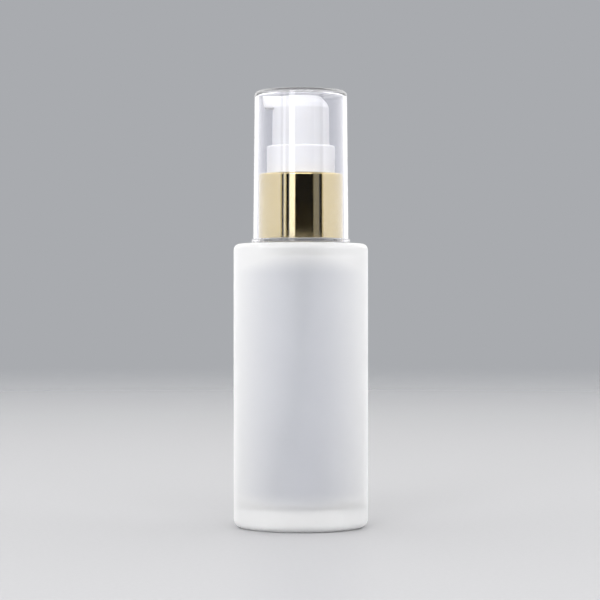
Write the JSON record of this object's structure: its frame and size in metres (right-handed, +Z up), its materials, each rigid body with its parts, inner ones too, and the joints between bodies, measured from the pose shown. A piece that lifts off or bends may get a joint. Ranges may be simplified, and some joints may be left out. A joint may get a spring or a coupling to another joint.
{
  "type": "foundation bottle",
  "caption": "Cylindrical frosted glass bottle with a lotion pump, metal collar, sideways nozzle and clear lift-off overcap.",
  "frame": {"origin": "centre of the bottle's base, on the surface it stands on", "axes": "+Z up along the bottle's axis, the nozzle points to -X"},
  "size_m": [0.032, 0.032, 0.1038],
  "materials": {
    "frosted_glass": "acid-etched outside, smooth inside",
    "clear_plastic": "clear, polished",
    "white_plastic": "white, semi-gloss moulded",
    "soft_plastic": "soft polyethylene, satin",
    "natural_plastic": "natural, translucent",
    "gold_metal": "champagne gold anodised, polished",
    "steel": "stainless, drawn"
  },
  "bodies": {
    "bottle": {"bottle": "frosted_glass"},
    "pump": {"gasket": "soft_plastic", "pump_housing": "natural_plastic", "chaplet": "white_plastic", "dip_tube": "natural_plastic", "spring": "steel"},
    "closure": {"closure": "white_plastic", "collar_shell": "gold_metal"},
    "overcap": {"overcap": "clear_plastic"},
    "stem": {"stem": "white_plastic", "piston_seat": "white_plastic"},
    "piston": {"piston": "soft_plastic"},
    "actuator": {"actuator": "white_plastic"},
    "inlet_ball": {"inlet_ball": "steel"}
  },
  "joints": [
    {"name": "pump_rise", "type": "slide", "parent": "bottle", "child": "pump", "axis": [0, 0, 1], "range_m": [0, 0.00476]},
    {"name": "closure_turn", "type": "hinge", "parent": "pump", "child": "closure", "pos_m": [0, 0, 0.0684], "axis": [0, 0, 1], "range_deg": [0, 540]},
    {"name": "overcap_lift", "type": "slide", "parent": "closure", "child": "overcap", "axis": [0, 0, 1], "range_m": [0, 0.04]},
    {"name": "press", "type": "slide", "parent": "pump", "child": "stem", "axis": [0, 0, -1], "range_m": [0, 0.0055], "stiffness_N_per_m": 770, "springref_m": -0.004, "deforming": ["spring"]},
    {"name": "piston_float", "type": "slide", "parent": "stem", "child": "piston", "axis": [0, 0, 1], "range_m": [0, 0.000501]},
    {"name": "actuator_swivel", "type": "hinge", "parent": "stem", "child": "actuator", "pos_m": [0, 0, 0.089], "axis": [0, 0, 1], "continuous": true},
    {"name": "ball_lift", "type": "slide", "parent": "pump", "child": "inlet_ball", "axis": [0, 0, 1], "range_m": [0, 0.001]}
  ],
  "couplings": [
    {"joint": "pump_rise", "follows": "closure_turn", "m_per_rad": 0.00050532},
    {"joint": "piston_float", "follows": "press", "ratio": 0.0909}
  ]
}
